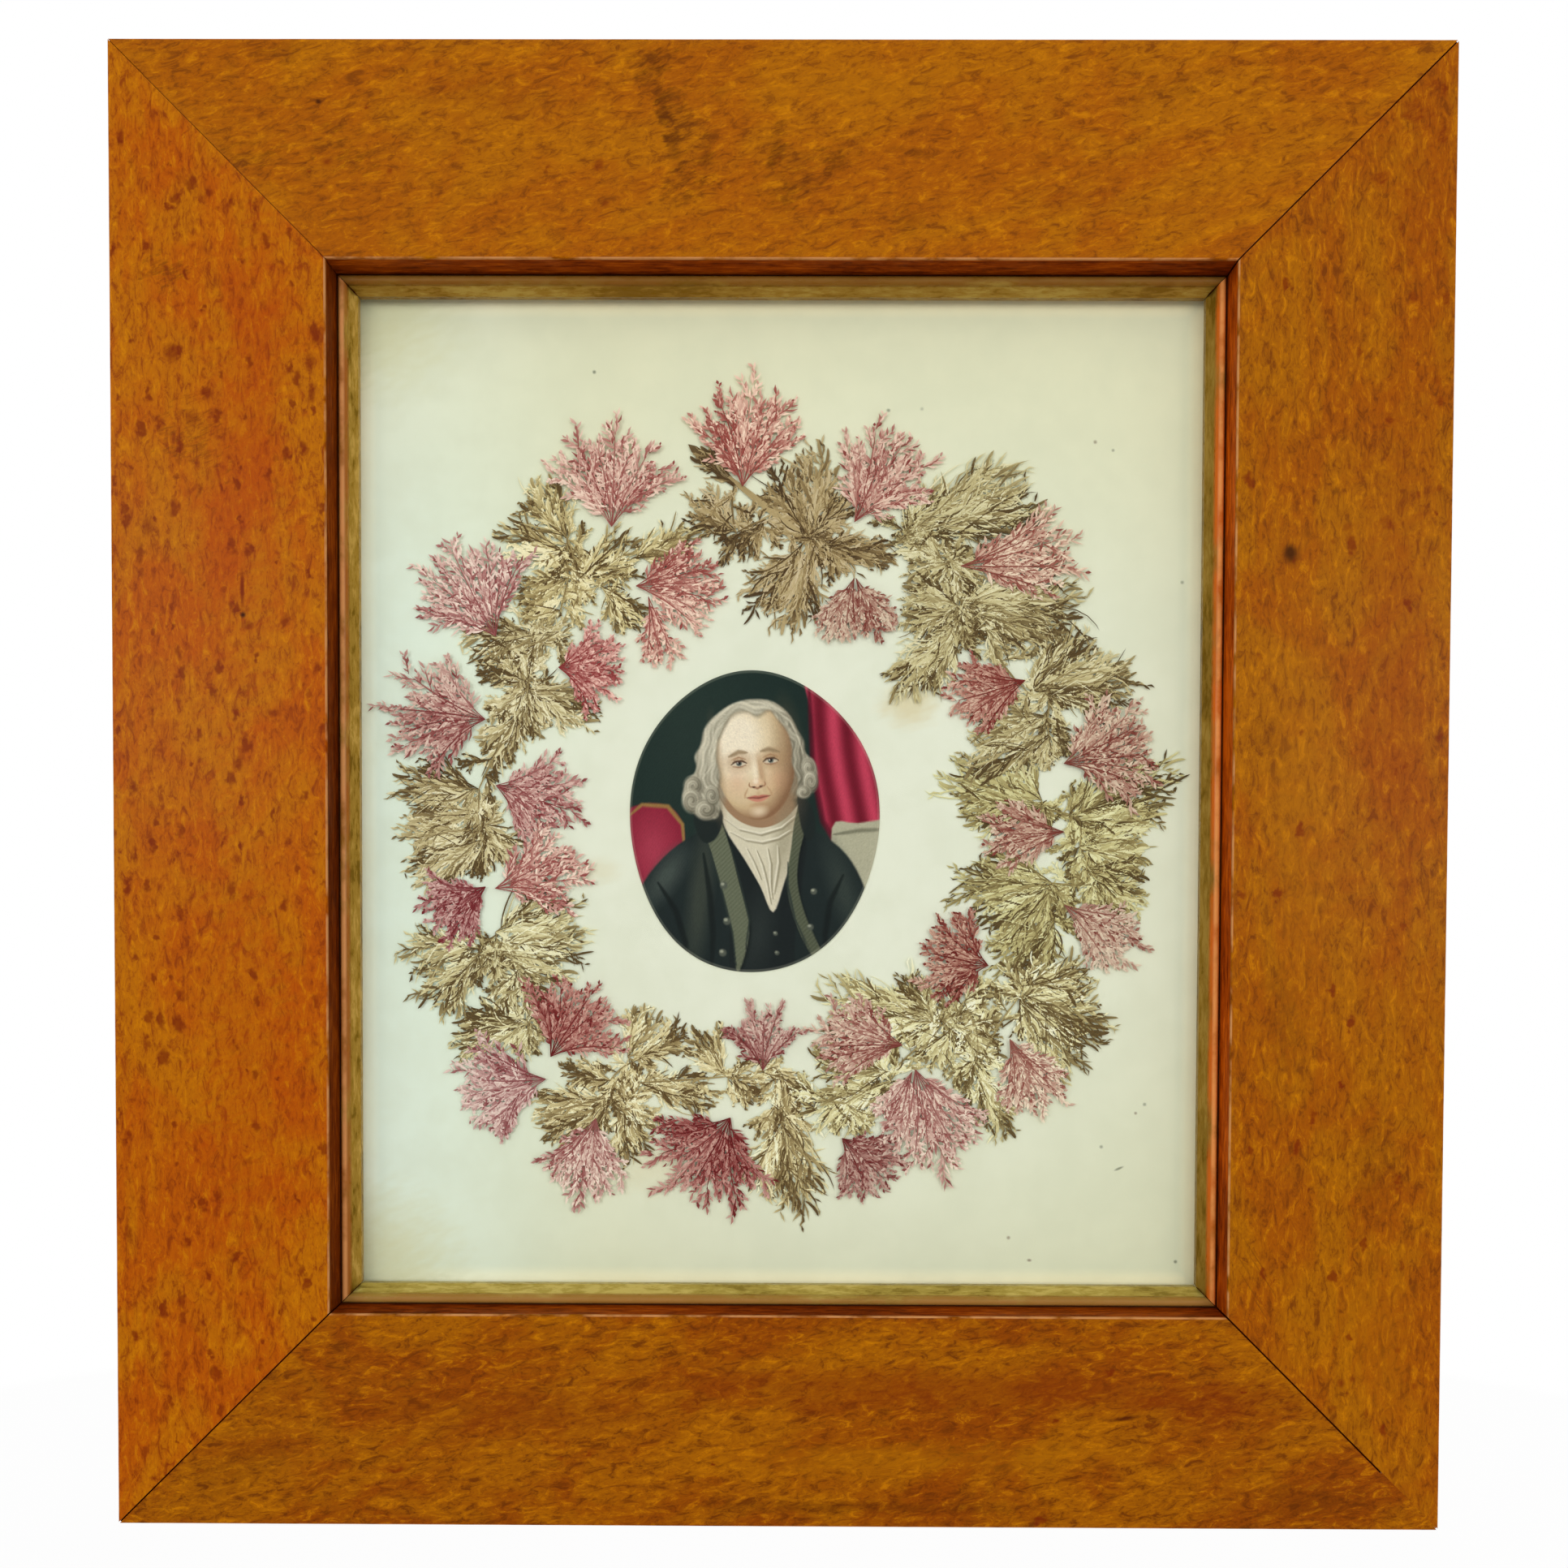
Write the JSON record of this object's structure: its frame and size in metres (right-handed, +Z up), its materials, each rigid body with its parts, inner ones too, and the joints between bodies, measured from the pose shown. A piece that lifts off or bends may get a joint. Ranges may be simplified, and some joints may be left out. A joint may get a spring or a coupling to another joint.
{
  "type": "framed seaweed wreath",
  "caption": "Glazed bird's-eye maple wall frame holding a wreath of pressed seaweed on paper round an oval cut-out portrait print.",
  "frame": {"origin": "on the back face of the top rail, halfway along it and halfway up it, where the frame rests against the wall", "axes": "+X to the right and +Z up as the picture hangs, +Y out of the back towards the wall; the front faces -Y"},
  "size_m": [0.3556, 0.0366, 0.3952],
  "materials": {
    "maple_veneer": "french-polished bird's-eye maple veneer",
    "pine_core": "pine stained dark red-brown where it shows",
    "liner_wood": "stained olive-brown with worn coppery high spots",
    "window_glass": "thin clear drawn glass",
    "sheet_paper": "aged cream paper with a few brown specks",
    "print_paper": "hand-coloured print, matt",
    "olive_weed": "dried pressed seaweed, olive and khaki",
    "pink_weed": "dried pressed seaweed, rose and crimson",
    "board_wood": "rough-sawn pine darkened with age",
    "iron": "dull cut iron",
    "brass": "tarnished brass wire"
  },
  "bodies": {
    "frame": {"backing_board": "board_wood", "bottom_brad_1": "iron", "bottom_liner": "liner_wood", "bottom_rail": "pine_core", "bottom_veneer": "maple_veneer", "glass_pane": "window_glass", "left_brad_1": "iron", "left_brad_2": "iron", "left_liner": "liner_wood", "left_screw_eye": "brass", "left_stile": "pine_core", "left_veneer": "maple_veneer", "olive_garland_bottom": "olive_weed", "olive_garland_left": "olive_weed", "olive_garland_lower_left": "olive_weed", "olive_garland_lower_right": "olive_weed", "olive_garland_right": "olive_weed", "olive_garland_top": "olive_weed", "olive_garland_upper_left": "olive_weed", "olive_garland_upper_right": "olive_weed", "paper_sheet": "sheet_paper", "pink_tuft_01": "pink_weed", "pink_tuft_02": "pink_weed", "pink_tuft_03": "pink_weed", "pink_tuft_04": "pink_weed", "pink_tuft_05": "pink_weed", "pink_tuft_06": "pink_weed", "pink_tuft_07": "pink_weed", "pink_tuft_08": "pink_weed", "pink_tuft_09": "pink_weed", "pink_tuft_10": "pink_weed", "pink_tuft_11": "pink_weed", "pink_tuft_12": "pink_weed", "pink_tuft_13": "pink_weed", "pink_tuft_14": "pink_weed", "pink_tuft_15": "pink_weed", "pink_tuft_16": "pink_weed", "pink_tuft_17": "pink_weed", "pink_tuft_18": "pink_weed", "pink_tuft_19": "pink_weed", "pink_tuft_20": "pink_weed", "pink_tuft_21": "pink_weed", "pink_tuft_22": "pink_weed", "pink_tuft_23": "pink_weed", "pink_tuft_24": "pink_weed", "pink_tuft_25": "pink_weed", "pink_tuft_26": "pink_weed", "portrait_print": "print_paper", "right_brad_1": "iron", "right_brad_2": "iron", "right_liner": "liner_wood", "right_screw_eye": "brass", "right_stile": "pine_core", "right_veneer": "maple_veneer", "top_brad_1": "iron", "top_liner": "liner_wood", "top_rail": "pine_core", "top_veneer": "maple_veneer"},
    "left_ring": {"left_hanging_ring": "brass"},
    "right_ring": {"right_hanging_ring": "brass"}
  },
  "joints": [
    {"name": "left_ring_swing", "type": "hinge", "parent": "frame", "child": "left_ring", "pos_m": [-0.1533, 0.0058, -0.08273], "axis": [1, 0, 0], "range_deg": [-14, 194]},
    {"name": "right_ring_swing", "type": "hinge", "parent": "frame", "child": "right_ring", "pos_m": [0.1533, 0.0058, -0.08273], "axis": [1, 0, 0], "range_deg": [-14, 194]}
  ]
}
